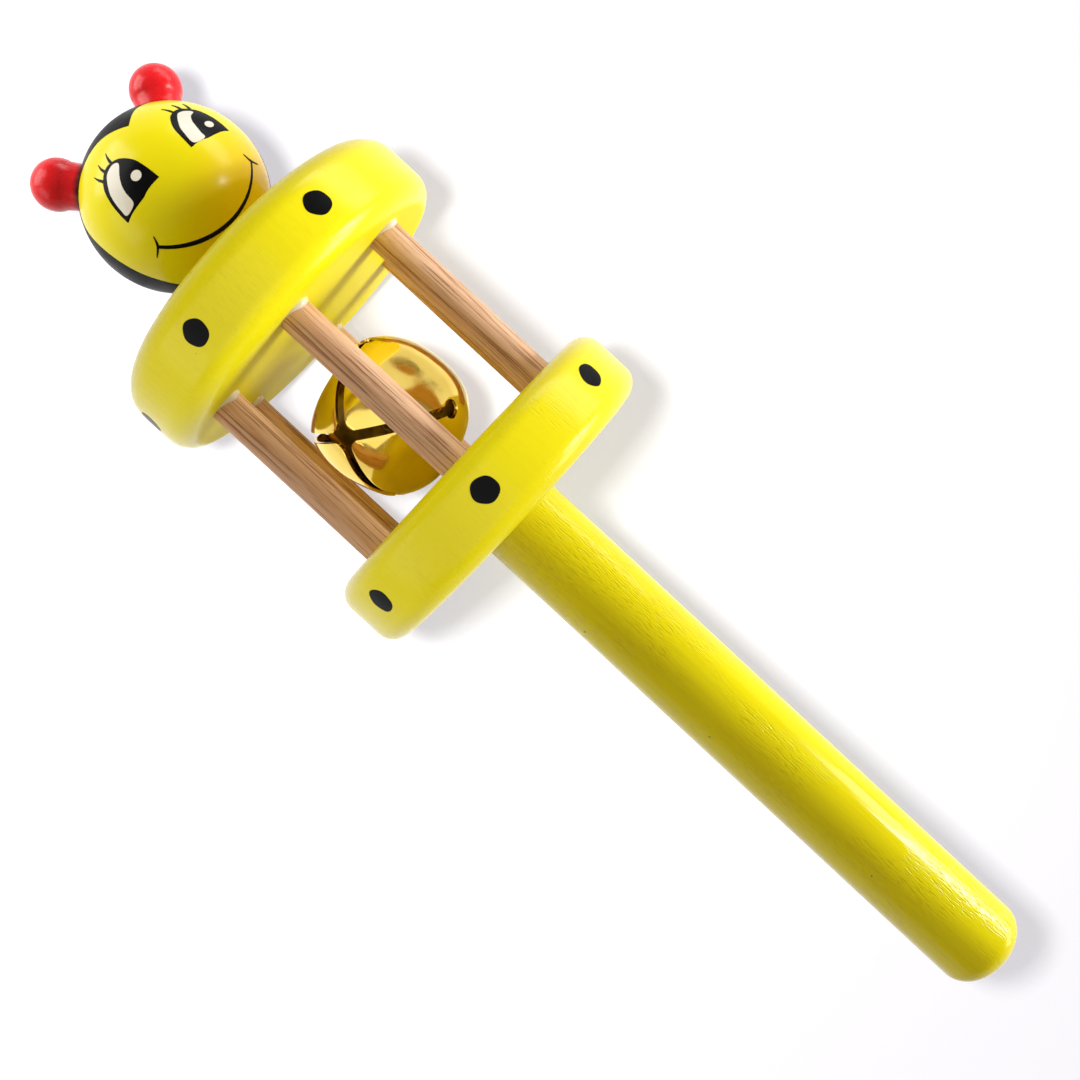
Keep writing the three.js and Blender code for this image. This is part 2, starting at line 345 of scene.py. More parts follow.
def bent_sheets(name, regions, spacing, bend, material, thickness, flip=False):
    """Flat regions bent onto a surface by bend(u, v, height) and thickened downwards; a region is
    (outlines, height)"""
    verts, faces = [], []
    for loops, height in regions:
        flat, triangles = sheet(loops, spacing)
        first = len(verts)
        verts += [bend(p.x, p.y, height) for p in flat]
        for triangle in triangles:
            corners = tuple(first + i for i in triangle)
            faces.append(corners[::-1] if flip else corners)
    obj = new_piece(name, verts, faces, material)
    thicken(obj, thickness)
    applied(obj)
    smooth(obj, 60)
    return obj


def spline(points, steps, closed=False):
    """A smooth curve through points"""
    count = len(points)
    curve = []
    for i in range(count if closed else count - 1):
        if closed:
            p = [Vector(points[(i + k) % count]) for k in (-1, 0, 1, 2)]
        else:
            p = [Vector(points[min(max(i + k, 0), count - 1)]) for k in (-1, 0, 1, 2)]
        for step in range(steps):
            t = step / steps
            curve.append(0.5 * (2 * p[1] + (p[2] - p[0]) * t
                                + (2 * p[0] - 5 * p[1] + 4 * p[2] - p[3]) * t ** 2
                                + (3 * p[1] - p[0] - 3 * p[2] + p[3]) * t ** 3))
    if not closed:
        curve.append(Vector(points[-1]))
    return curve


def stroke(points, widths):
    """The outline of a brush stroke along a curve, with its width running through the given values"""
    left, right = [], []
    last = len(points) - 1
    for i, p in enumerate(points):
        along = (points[min(i + 1, last)] - points[max(i - 1, 0)]).normalized()
        across = Vector((-along.y, along.x))
        share = i / last * (len(widths) - 1)
        k = min(int(share), len(widths) - 2)
        half = (widths[k] + (widths[k + 1] - widths[k]) * (share - k)) / 2
        left.append(p + across * half)
        right.append(p - across * half)
    return left + right[::-1]


def ellipse(u, v, half_u, half_v, steps):
    angles = [2 * math.pi * i / steps for i in range(steps)]
    return [Vector((u + half_u * math.cos(a), v + half_v * math.sin(a))) for a in angles]


# Materials

def new_node(tree, kind, inputs, **settings):
    """A node with its settings, whose inputs take values or other nodes' sockets"""
    made = tree.nodes.new(kind)
    for name, value in settings.items():
        setattr(made, name, value)
    for name, value in inputs.items():
        if isinstance(value, bpy.types.NodeSocket):
            tree.links.new(value, made.inputs[name])
        else:
            made.inputs[name].default_value = value
    return made


class Finish:
    """A node material that is built from its principled shader"""

    def __init__(self, name, **sockets):
        self.material = bpy.data.materials.new(name)
        self.material.use_nodes = True
        self.tree = self.material.node_tree
        self.shader = self.tree.nodes["Principled BSDF"]
        self.place = self.tree.nodes.new("ShaderNodeTexCoord").outputs["Object"]
        for socket, value in sockets.items():
            self.shader.inputs[socket.replace("_", " ")].default_value = value

    def node(self, kind, inputs, **settings):
        return new_node(self.tree, kind, inputs, **settings)

    def noise(self, scale, detail=2.0, roughness=0.5):
        """Noise with its own scale along X, Y and Z, in features per metre"""
        stretched = self.node("ShaderNodeMapping", {"Vector": self.place, "Scale": scale})
        inputs = {"Vector": stretched.outputs[0], "Scale": 1.0, "Detail": detail, "Roughness": roughness}
        return self.node("ShaderNodeTexNoise", inputs).outputs["Fac"]

    def remap(self, value, low, high, to_low=0.0, to_high=1.0):
        inputs = {0: value, 1: low, 2: high, 3: to_low, 4: to_high}
        return self.node("ShaderNodeMapRange", inputs).outputs[0]

    def times(self, a, b):
        return self.node("ShaderNodeMath", {0: a, 1: b}, operation="MULTIPLY").outputs[0]

    def plus(self, a, b):
        return self.node("ShaderNodeMath", {0: a, 1: b}, operation="ADD").outputs[0]

    def vector(self, operation, a, b):
        return self.node("ShaderNodeVectorMath", {0: a, 1: b}, operation=operation).outputs

    def mix(self, share, a, b):
        inputs = {0: share, 6: a, 7: b}
        return self.node("ShaderNodeMix", inputs, data_type="RGBA").outputs[2]

    def bump(self, height, depth, strength=1.0):
        inputs = {"Height": height, "Distance": depth, "Strength": strength}
        self.set("Normal", self.node("ShaderNodeBump", inputs).outputs[0])

    def set(self, socket, value):
        self.tree.links.new(value, self.shader.inputs[socket])


def colour(red, green, blue):
    return (red, green, blue, 1.0)


def yellow_enamel(name, sheen, dent, lemon, neck_shade=None, face=None):
    """Lemon enamel on wood: sheen is its roughness, dent how far the pores show, lemon its paleness, blush
    the way along which painted shade and bounced light darken it to orange near the disc, with the reach
    where that starts and ends, and face the radius inside which a disc is duller than its rim"""
    finish = Finish(name, IOR=1.45, Specular_IOR_Level=0.26)
    pores = finish.remap(finish.noise((620, 3600, 3600), 2), 0.49, 0.72)
    streaks = finish.remap(finish.noise((60, 1500, 1500), 2), 0.45, 0.72)
    bare = finish.remap(finish.noise((70, 160, 160), 1), 0.36, 0.60)
    grain = finish.times(pores, finish.times(bare, dent))
    cloud = finish.remap(finish.noise((30, 60, 60), 2), 0.35, 0.65)
    base = finish.mix(cloud, colour(0.83, 0.75, lemon), colour(0.80, 0.71, lemon))
    base = finish.mix(finish.times(streaks, 0.18 * dent), base, colour(0.60, 0.46, 0.004))
    base = finish.mix(finish.times(grain, 0.27), base, colour(0.46, 0.34, 0.004))
    # Painted shade and bounced light where the head meets the disc: darker orange towards it
    if neck_shade:
        way, start, end = neck_shade
        reach = finish.vector("DOT_PRODUCT", finish.place, way)["Value"]
        share = finish.remap(reach, start, end, 0.0, 0.75)
        base = finish.mix(share, base, colour(0.80, 0.45, lemon))
    speck = finish.remap(finish.noise((1500, 1500, 1500), 0), 0.885, 0.895)
    finish.set("Base Color", finish.mix(finish.times(speck, dent), base, colour(0.16, 0.12, 0.02)))
    roughness = finish.remap(finish.noise((220, 500, 500), 2), 0.3, 0.7, sheen, sheen + 0.06)
    if face:
        across = finish.vector("MULTIPLY", finish.place, (0, 1, 1))["Vector"]
        reach = finish.vector("DISTANCE", across, AXIS.translation)["Value"]
        roughness = finish.plus(roughness, finish.remap(reach, face, face + MM, DISC_FACE_DULLNESS, 0.0))
    finish.set("Roughness", roughness)
    ripple = finish.times(finish.noise((90, 300, 300), 2), 0.35)
    finish.bump(finish.plus(ripple, finish.times(grain, -1.0)), 0.045 * MM)
    return finish.material


def bamboo():
    """Split bamboo: long fibres, with thin dark bundles among pale ones"""
    finish = Finish("bamboo", IOR=1.5, Specular_IOR_Level=0.25)
    broad = finish.remap(finish.noise((20, 420, 420), 2), 0.35, 0.68)
    fibre = finish.noise((110, 4600, 4600), 3)
    bundle = finish.remap(finish.noise((60, 3900, 3900), 3, 0.65), 0.55, 0.63)
    base = finish.mix(broad, colour(0.86, 0.53, 0.32), colour(0.68, 0.345, 0.17))
    base = finish.mix(finish.remap(fibre, 0.38, 0.62, 0.0, 0.5), base, colour(0.90, 0.66, 0.47))
    finish.set("Base Color", finish.mix(finish.times(bundle, 0.75), base, colour(0.30, 0.11, 0.04)))
    finish.set("Roughness", finish.remap(fibre, 0.3, 0.7, 0.42, 0.6))
    finish.bump(finish.plus(fibre, finish.times(bundle, -0.8)), 0.06 * MM)
    return finish.material


def bare_wood():
    """The cut end of a pale dowel"""
    finish = Finish("bare wood", IOR=1.5)
    rings = finish.noise((120, 1500, 1500), 3)
    finish.set("Base Color", finish.mix(rings, colour(0.62, 0.44, 0.25), colour(0.78, 0.60, 0.38)))
    finish.set("Roughness", finish.remap(rings, 0.3, 0.7, 0.6, 0.75))
    finish.bump(rings, 0.05 * MM)
    return finish.material


def black_enamel(name, low, high):
    """Black paint, a little dusty, with brush ripples"""
    finish = Finish(name, IOR=1.45, Specular_IOR_Level=0.08)
    dust = finish.noise((260, 260, 260), 3)
    finish.set("Base Color", finish.mix(dust, colour(0.001, 0.001, 0.002), colour(0.006, 0.006, 0.007)))
    finish.set("Roughness", finish.remap(dust, 0.3, 0.7, low, high))
    finish.bump(finish.noise((500, 500, 500), 2), 0.03 * MM, 0.5)
    return finish.material


def eye_white():
    finish = Finish("eye white", IOR=1.5)
    wash = finish.noise((350, 350, 350), 3)
    finish.set("Base Color", finish.mix(wash, colour(0.68, 0.65, 0.52), colour(0.84, 0.82, 0.72)))
    finish.set("Roughness", finish.remap(wash, 0.3, 0.7, 0.3, 0.42))
    finish.bump(wash, 0.02 * MM, 0.5)
    return finish.material


def red_enamel(head_centre):
    """Thick red paint with a lumpy skin, blackened next to the head, partly by overspray and partly as
    painted shade where the ball meets the head
    """
    finish = Finish("red enamel", IOR=1.45, Specular_IOR_Level=0.35)
    lump = finish.noise((520, 520, 520), 2)
    base = finish.mix(lump, colour(0.70, 0.006, 0.010), colour(0.84, 0.010, 0.018))
    away = finish.vector("DISTANCE", finish.place, head_centre)["Value"]
    edge = finish.plus(away, finish.times(lump, 0.8 * MM))
    # Black overspray and painted shade at the foot of the ball
    spray_and_shade = finish.remap(edge, OVERSPRAY_AND_SHADE_START, OVERSPRAY_AND_SHADE_END, 1.0, 0.0)
    finish.set("Base Color", finish.mix(spray_and_shade, base, colour(0.012, 0.008, 0.009)))
    finish.set("Roughness", finish.remap(lump, 0.3, 0.7, 0.2, 0.32))
    finish.bump(lump, 0.12 * MM)
    return finish.material


def gold_plate():
    """Bright plated sheet metal, slightly uneven from pressing"""
    finish = Finish("gold plate", Metallic=1.0)
    wave = finish.noise((190, 190, 190), 1)
    stain = finish.remap(finish.noise((120, 120, 120), 3), 0.4, 0.7)
    finish.set("Base Color", finish.mix(stain, colour(0.93, 0.70, 0.17), colour(0.84, 0.60, 0.12)))
    finish.set("Roughness", finish.remap(finish.noise((700, 700, 700), 3), 0.3, 0.7, 0.07, 0.17))
    finish.bump(wave, 0.25 * MM)
    return finish.material


def pellet_steel():
    finish = Finish("pellet steel", Metallic=1.0)
    scale = finish.noise((900, 900, 900), 3)
    finish.set("Base Color", finish.mix(scale, colour(0.35, 0.34, 0.33), colour(0.55, 0.54, 0.52)))
    finish.set("Roughness", finish.remap(scale, 0.3, 0.7, 0.25, 0.45))
    finish.bump(scale, 0.05 * MM)
    return finish.material


def glue():
    """Dried white glue, glossy and a little yellowed; its pale colour also stands for a painted highlight
    on the lit side of each joint
    """
    finish = Finish("glue", IOR=1.47)
    lump = finish.noise((700, 700, 700), 2)
    finish.set("Base Color", finish.mix(lump, colour(0.80, 0.70, 0.46), colour(0.88, 0.83, 0.70)))
    finish.set("Roughness", finish.remap(lump, 0.3, 0.7, 0.1, 0.2))
    finish.bump(lump, 0.1 * MM)
    return finish.material


# Turned wooden pieces

def disc_profile(start, end, radius, rounding_start, rounding_end):
    profile = [(start, 0), (start, radius - rounding_start - EDGE_SUPPORT)]
    profile += arc((start + rounding_start, radius - rounding_start), (rounding_start,) * 2, -90, 0, 12)
    profile += arc((end - rounding_end, radius - rounding_end), (rounding_end,) * 2, 0, 90, 12)
    return profile + [(end, radius - rounding_end - EDGE_SUPPORT), (end, 0)]


def make_dowel(name, node, radius, chamfer, material, place):
    """A plain dowel with chamfered ends"""
    low, high = (corner.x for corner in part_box(node))
    profile = [(low, 0), (low, radius - chamfer), (low + chamfer, radius)]
    profile += [(high - chamfer, radius), (high, radius - chamfer), (high, 0)]
    return turned(name, profile, 48, material, place)


def make_handle(material):
    low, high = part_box("handle")
    radius = radius_of("handle")
    profile = [(low.x, 0), (low.x, HANDLE_END_FLAT - EDGE_SUPPORT)]
    corner = (low.x + HANDLE_END_ROUNDING, HANDLE_END_FLAT)
    profile += arc(corner, (HANDLE_END_ROUNDING, radius - HANDLE_END_FLAT), -90, 0, 14)
    profile += [(high.x, radius), (high.x, 0)]
    wear(turned("handle_dowel", profile, 96, material), "rattle", "yellow_enamel", "handle")


def bar_place(i):
    centre = middle(f"bar_{i}")
    return Matrix.Translation((0, centre.y, centre.z))


def make_disc(name, node, roundings, cage_face, material):
    """A turned disc; the bars enter its far face where cage_face is 1 and its near face where it is -1"""
    low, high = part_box(node)
    disc = turned(name, disc_profile(low.x, high.x, radius_of(node), *roundings), 160, material)
    face = high.x if cage_face > 0 else low.x
    ends = sorted((face + cage_face * DRILL_OVERSHOOT, face - cage_face * BAR_SOCKET_DEPTH))
    for i in BARS:
        drilled(disc, BAR_RADIUS + SOCKET_PLAY, *ends, bar_place(i))
    return disc


def make_discs(material):
    lower = make_disc("lower_disc_turned", "lower_disc", LOWER_DISC_ROUNDINGS, 1, material)
    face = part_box("lower_disc")[0].x
    hole = radius_of("handle") + SOCKET_PLAY
    drilled(lower, hole, face - DRILL_OVERSHOOT, face + HANDLE_SOCKET_DEPTH, AXIS)
    wear(lower, "rattle", "yellow_enamel", "lower_disc")
    upper = make_disc("upper_disc_turned", "upper_disc", UPPER_DISC_ROUNDINGS, -1, material)
    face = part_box("upper_disc")[1].x
    drilled(upper, PEG_HOLE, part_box("neck_peg")[0].x, face + DRILL_OVERSHOOT, AXIS)
    wear(upper, "rattle", "yellow_enamel", "upper_disc")


def make_bars(material):
    for i in BARS:
        node = f"bar_{i}"
        bar = make_dowel(f"{node}_bamboo", node, BAR_RADIUS, BAR_CHAMFER, material, bar_place(i))
        wear(bar, "rattle", "bamboo", node)


def make_glue_highlight_beads(material):
    """A bead of glue where each bar enters the upper disc, run to the lit side of it, where its pale colour
    also paints a highlight
    """
    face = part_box("upper_disc")[0].x
    inner = BAR_RADIUS + GLUE_GAP
    corner = (face, inner)
    profile = arc(corner, (GLUE_BEAD_HEIGHT, GLUE_BEAD_WIDTH), -90, 0, 6) + [corner]
    count = len(profile)
    sides = 48
    for i in BARS:
        verts, faces = [], []
        for k in range(sides):
            angle = 2 * math.pi * k / sides
            # Most glue on the lit side: a painted highlight as well as glue
            run = (0.5 + 0.5 * math.cos(angle + GLUE_LEAN_TO_LIGHT)) ** GLUE_RUN_SHARPNESS
            swell = GLUE_BEAD_THINNEST + (1 - GLUE_BEAD_THINNEST) * run
            for station, radius in profile:
                reach = inner + (radius - inner) * swell
                rise = face + (station - face) * swell
                point = Vector((rise, reach * math.sin(angle), reach * math.cos(angle)))
                verts.append(bar_place(i) @ point)
            for m in range(count):
                a, b = k * count + m, k * count + (m + 1) % count
                c, d = (a + count) % (sides * count), (b + count) % (sides * count)
                faces.append((a, b, d, c))
        bead = new_piece(f"glue_highlight_bead_{i}", verts, faces, material)
        wear(bead, "rattle", None)


def make_neck_peg(material):
    radius = radius_of("neck_peg")
    peg = make_dowel("neck_peg_dowel", "neck_peg", radius, NECK_PEG_CHAMFER, material, AXIS)
    wear(peg, "rattle", "bare_wood", "neck_peg")


# Head, antennae and painted face

HEAD_CENTRE = AXIS @ Vector((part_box("head")[1].x - HEAD_RADIUS, 0, 0))
FACE_OUT = Vector((0, -math.sin(FACE_ROLL), math.cos(FACE_ROLL)))
FACE_SIDE = Vector((0, -math.cos(FACE_ROLL), -math.sin(FACE_ROLL)))
FACE_UP = Vector((1, 0, 0))


def antenna_axis(node):
    """The mean of a turned piece's corners lies on its axis"""
    corners = {tuple(round(x, 6) for x in v.co) for v in frame["nodes"][node].data.vertices}
    mean = sum((Vector(c) for c in corners), Vector()) / len(corners)
    return (mean - HEAD_CENTRE).normalized()


def along(direction):
    """A place at the head's centre with X along a direction"""
    turn = Vector((1, 0, 0)).rotation_difference(direction).to_matrix().to_4x4()
    return Matrix.Translation(HEAD_CENTRE) @ turn


ANTENNAE = {node: antenna_axis(node) for node in ("antenna_left", "antenna_right")}


def make_head(material):
    profile = [(-HEAD_RADIUS, 0)] + arc((0, 0), (HEAD_RADIUS,) * 2, -89, 89, 72) + [(HEAD_RADIUS, 0)]
    head = turned("head_ball", profile, 144, material, Matrix.Translation(HEAD_CENTRE))
    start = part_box("upper_disc")[1].x
    drilled(head, PEG_HOLE, start, HEAD_CENTRE.x - HEAD_RADIUS + NECK_PEG_IN_HEAD, AXIS)
    for direction in ANTENNAE.values():
        ends = (ANTENNA_FOOT - SOCKET_PLAY, HEAD_RADIUS + DRILL_OVERSHOOT)
        drilled(head, ANTENNA_HOLE, *ends, along(direction))
    wear(head, "rattle", "head_enamel", "head")


def make_antennae(material):
    for node, direction in ANTENNAE.items():
        start = math.degrees(math.acos(ANTENNA_COLLAR_RADIUS / ANTENNA_BALL_RADIUS))
        profile = [(ANTENNA_FOOT, 0), (ANTENNA_FOOT, ANTENNA_COLLAR_RADIUS)]
        neck = ANTENNA_BALL_REACH - ANTENNA_BALL_RADIUS * math.sin(math.radians(start))
        profile.append(((ANTENNA_FOOT + neck) / 2, ANTENNA_COLLAR_RADIUS - ANTENNA_WAIST))
        profile += arc((ANTENNA_BALL_REACH, 0), (ANTENNA_BALL_RADIUS,) * 2, -start, 88, 24)
        profile.append((ANTENNA_BALL_REACH + ANTENNA_BALL_RADIUS, 0))
        peg = turned(f"{node}_peg", profile, 72, material, along(direction))
        wear(peg, "rattle", "red_enamel", node)


def on_head(u, v, height, out=1):
    """Wraps a flat point round the head: its distance from the face's middle runs along the ball"""
    reach = math.hypot(u, v)
    angle = reach / HEAD_RADIUS
    towards = FACE_OUT * math.cos(angle) * out
    if reach > 1e-9:
        towards = towards + (FACE_SIDE * u + FACE_UP * v) / reach * math.sin(angle)
    return HEAD_CENTRE + towards * (HEAD_RADIUS + height)


def on_back(u, v, height):
    return on_head(u, v, height, -1)


def flat(points):
    return [Vector(p) * MM for p in points]


# Face, in millimetres on its flat map. An eye runs from its lower inner corner over the top to its lower
# outer corner, and a straight edge closes it.
EYE_TOP = [(3.5, -0.6), (3.7, 2.0), (4.1, 4.3), (5.3, 6.4), (6.6, 7.3), (8.0, 7.6), (9.4, 7.0),
           (10.9, 5.5), (11.8, 3.1), (12.2, 0.7), (12.3, -1.4)]
EYE_HEIGHTS = {-1: 1.0, 1: 0.9}
LASHES = [((6.8, 6.9), (6.6, 8.3), (6.1, 9.7)), ((8.5, 7.0), (8.6, 8.4), (8.4, 9.7)),
          ((9.8, 6.2), (10.3, 7.6), (10.5, 9.0))]
WHITES = {-1: [(-6.1, 5.9), (-6.6, 6.7), (-7.7, 6.8), (-9.0, 6.3), (-10.6, 4.2), (-11.2, 2.5),
               (-11.5, 0.7), (-11.4, -0.6), (-9.2, -0.3), (-8.8, 1.8), (-8.3, 3.2), (-7.4, 4.5)],
          1: [(4.4, -0.2), (4.5, 1.8), (5.0, 3.4), (6.6, 5.5), (7.8, 5.9), (9.0, 5.5), (9.6, 4.8),
              (8.4, 4.2), (7.5, 3.1), (7.1, 1.8), (6.8, 0.5), (6.6, -0.5)]}
GLINTS = {-1: (-5.7, 2.2, 0.9, 0.85), 1: (9.6, 1.2, 0.9, 0.7)}
SMILE_RADIUS = 15.5 * MM
SMILE_RISE = 2.3 * MM
SMILE_HALF = math.radians(49.5)
SMILE_WIDTHS = [0.6 * MM, 0.8 * MM, 0.75 * MM, 0.6 * MM, 0.4 * MM]
TICK = [(11.0, -6.0), (11.8, -7.6), (13.6, -8.8)]
HAIRLINE = [(0, 10.1), (4.2, 13.6), (9.0, 14.8), (15.2, 14.1), (20.3, 10.6), (21.2, 3.0), (18.9, -9.5),
            (12.5, -19.5), (0, -23.2)]


def mirrored(points, side, height=1.0):
    return [(side * u, v * height) for u, v in points]


def eye_outline(side):
    return spline(flat(mirrored(EYE_TOP, side, EYE_HEIGHTS[side])), 6)


def smile_line():
    steps = 48
    angles = [SMILE_HALF * (2 * i / steps - 1) for i in range(steps + 1)]
    return [Vector((math.sin(a), -math.cos(a))) * SMILE_RADIUS + Vector((0, SMILE_RISE)) for a in angles]


def make_face(black, white):
    lines = [stroke(smile_line(), SMILE_WIDTHS)]
    eyes, whites = [], []
    for side in (-1, 1):
        lines.append(stroke(spline(flat(mirrored(TICK, side)), 8), TICK_WIDTHS))
        for lash in LASHES:
            curve = spline(flat(mirrored(lash, side, EYE_HEIGHTS[side])), 6)
            lines.append(stroke(curve, LASH_WIDTHS))
        eyes.append(eye_outline(side))
        whites.append(spline(flat(WHITES[side]), 5, closed=True))
        whites.append(flat(ellipse(*GLINTS[side], 24)))
    regions = [([loop], PAINT + i * PAINT_STEP) for i, loop in enumerate(lines)]
    regions += [([loop], PAINT) for loop in eyes]
    wear(bent_sheets("face_black_paint", regions, PAINT_SPACING, on_head, black, 2 * PAINT), "rattle", None)
    regions = [([loop], 2 * PAINT) for loop in whites]
    wear(bent_sheets("face_white_paint", regions, WHITE_SPACING, on_head, white, PAINT), "rattle", None)


def back_map(direction):
    """A direction from the head's centre as a flat point about the middle of the head's back"""
    angle = math.acos(-direction.dot(FACE_OUT))
    point = Vector((direction.dot(FACE_SIDE), direction.dot(FACE_UP)))
    return point.normalized() * angle * HEAD_RADIUS


def round_hole(direction, radius):
    """A round hole in the head as an outline on the map of its back"""
    steps = 48
    spread_angle = math.asin(radius / HEAD_RADIUS)
    across = direction.orthogonal().normalized()
    other = direction.cross(across)
    points = []
    for i in range(steps):
        a = 2 * math.pi * i / steps
        side = across * math.cos(a) + other * math.sin(a)
        points.append(back_map(direction * math.cos(spread_angle) + side * math.sin(spread_angle)))
    return points


def make_head_back(black):
    right = spline(flat(HAIRLINE), 12)
    outline = right + [Vector((-p.x, p.y)) for p in right[-2:0:-1]]
    turned_over = [p.normalized() * (math.pi * HEAD_RADIUS - p.length) for p in outline]
    loops = [turned_over] + [round_hole(direction, ANTENNA_HOLE) for direction in ANTENNAE.values()]
    loops.append(round_hole(Vector((-1, 0, 0)), PEG_HOLE))
    regions = [(loops, PAINT)]
    back = bent_sheets("head_black_back", regions, BACK_SPACING, on_back, black, 2 * PAINT, flip=True)
    wear(back, "rattle", None)


def dot_outline(u, v, k):
    """A dot whose edge is slightly uneven, in another way for each number k"""
    points = []
    steps = 40
    for i in range(steps):
        a = 2 * math.pi * i / steps
        reach = DOT_RADIUS * (1 + 0.035 * math.sin(2 * a + 1.7 * k) + 0.02 * math.sin(5 * a + k))
        points.append(Vector((u + reach * math.cos(a), v + reach * math.sin(a))))
    return points


def make_rim_dots(node, roundings, dots, black):
    """Hand-painted dots round a rim"""
    low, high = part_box(node)
    radius = radius_of(node)
    centre = (low.x + roundings[0] + high.x - roundings[1]) / 2 + DOT_OFFSET

    def on_rim(u, v, height):
        angle = v / radius
        reach = radius + height
        return AXIS @ Vector((u, reach * math.sin(angle), reach * math.cos(angle)))

    regions = []
    for k, angle in enumerate(dots):
        outline = dot_outline(centre, radius * math.radians(angle), k)
        regions.append(([outline], PAINT))
    paint = bent_sheets(f"{node}_dots", regions, PAINT_SPACING, on_rim, black, 2 * PAINT)
    wear(paint, "rattle", None)


# Bell

BELL_CENTRE = middle("bell_shell")
BELL_FRAME = (Matrix.Translation(BELL_CENTRE) @ Matrix.Rotation(BELL_TURN[0], 4, "Z")
              @ Matrix.Rotation(BELL_TURN[1], 4, "Y") @ Matrix.Rotation(BELL_TURN[2], 4, "Z"))


def bell_point(polar, around):
    """The folded sheet, drawn in midway between the slots, with a flat band across each petal"""
    between = abs(math.sin(2 * around))
    band = max(-1, min(1, (polar - PETAL_FLAT_MIDDLE) / PETAL_FLAT_HALF))
    radius = BELL_RADIUS - BELL_HOLLOW * (math.sin(polar) * between) ** 2
    radius -= PETAL_FLAT * math.cos(band * math.pi / 2) ** 2 * between
    flat_reach = radius * math.sin(polar)
    return BELL_FRAME @ Vector((flat_reach * math.cos(around), flat_reach * math.sin(around),
                                radius * math.cos(polar)))


def slot_angle(polar):
    """Half the angle about the bell's axis that a slot takes up: rounded petal tips, a straight run and a
    keyhole at its end"""
    out = BELL_RADIUS * math.sin(polar)
    tip = BELL_SLOT_HALF + BELL_PETAL_TIP
    if polar < math.pi / 2 and out < tip:
        diagonal = tip * math.sqrt(2)
        lean = (out ** 2 + diagonal ** 2 - BELL_PETAL_TIP ** 2) / (2 * out * diagonal)
        return math.pi / 4 - math.acos(min(1, lean))
    beyond = (polar - math.pi / 2) * BELL_RADIUS + BELL_KEYHOLE_RISE
    half_wide, half_long = BELL_KEYHOLE
    half = BELL_SLOT_HALF if beyond < 0 else 0
    if abs(beyond) < half_long:
        half = max(half, half_wide * math.sqrt(1 - (beyond / half_long) ** 2))
    return math.asin(half / out)


def bell_opening():
    """Outline of the four slots, which meet at the pole, on the map about that pole"""
    tips_apart = (BELL_SLOT_HALF + BELL_PETAL_TIP) * math.sqrt(2) - BELL_PETAL_TIP
    start = math.asin(tips_apart / BELL_RADIUS)
    end = math.pi / 2 + (BELL_KEYHOLE[1] - BELL_KEYHOLE_RISE) / BELL_RADIUS
    steps = 72
    stations = [start + (end - start) * i / steps for i in range(steps + 1)]
    edge = [(polar, slot_angle(polar)) for polar in stations]
    loop = []
    for quarter in range(4):
        turn = quarter * math.pi / 2
        way = [(p, turn - a) for p, a in edge] + [(p, turn + a) for p, a in edge[-2:0:-1]]
        loop += [Vector((math.cos(a), math.sin(a))) * p * BELL_RADIUS for p, a in way]
    return loop


def make_bell_shell(material):
    """The slotted half from its flat map, and rows of faces from there to the hole for the loop"""
    reach = BELL_EDGE * BELL_RADIUS
    ring = ellipse(0, 0, reach, reach, BELL_SIDES)
    flat_points, faces = sheet([ring, bell_opening()], BELL_SPACING)
    verts = [bell_point(p.length / BELL_RADIUS, math.atan2(p.y, p.x)) for p in flat_points]
    hole = math.pi - math.asin(BELL_LOOP_HOLE / BELL_RADIUS)
    rows = 22
    first = len(verts)
    for row in range(rows + 1):
        polar = BELL_EDGE + (hole - BELL_EDGE) * row / rows
        verts += [bell_point(polar, 2 * math.pi * i / BELL_SIDES) for i in range(BELL_SIDES)]
    for row in range(rows):
        for i in range(BELL_SIDES):
            a, b = first + row * BELL_SIDES + i, first + row * BELL_SIDES + (i + 1) % BELL_SIDES
            faces.append((a, a + BELL_SIDES, b + BELL_SIDES, b))
    shell = new_piece("bell_globe", verts, faces, material)
    mesh = bmesh.new()
    mesh.from_mesh(shell.data)
    bmesh.ops.remove_doubles(mesh, verts=mesh.verts, dist=0.002 * MM)
    bmesh.ops.recalc_face_normals(mesh, faces=mesh.faces)
    mesh.to_mesh(shell.data)
    mesh.free()
    thicken(shell, BELL_WALL)
    soften(shell, BELL_RIM_ROUNDING, 50)
    wear(shell, "bell", "gold_plate", "bell_shell")


def make_bell_loop(material):
    """A strip folded double into an eye, whose ends spread out inside the shell"""
    outer = LOOP_EYE_RADIUS + LOOP_STRIP
    eye = BELL_RADIUS + LOOP_STEM + LOOP_EYE_RADIUS
    foot = BELL_RADIUS - BELL_WALL - LOOP_FOOT_GAP
    lean = math.asin(LOOP_STRIP / outer)
    outline = []
    for i in range(41):
        a = lean - math.pi / 2 + (2 * math.pi - 2 * lean) * i / 40
        outline.append(Vector((outer * math.cos(a), eye + outer * math.sin(a))))
    toe = LOOP_FOOT_REACH / foot
    side = math.asin(LOOP_STRIP / foot)
    for radius, start, end in ((foot, side, toe), (foot - LOOP_STRIP, toe, -toe), (foot, -toe, -side)):
        for i in range(9):
            a = start + (end - start) * i / 8
            outline.append(Vector((-radius * math.sin(a), radius * math.cos(a))))
    hole = ellipse(0, eye, LOOP_EYE_RADIUS, LOOP_EYE_RADIUS, 36)
    turn = BELL_FRAME @ Matrix.Rotation(LOOP_TURN, 4, "Z")

    def on_loop(u, v, height):
        return turn @ Vector((u, height, -v))

    regions = [([outline, hole], LOOP_WIDTH / 2)]
    loop = bent_sheets("bell_loop_strip", regions, LOOP_SPACING, on_loop, material, LOOP_WIDTH)
    soften(loop, LOOP_RIM_ROUNDING, 40)
    wear(loop, "bell", "gold_plate", "bell_loop")


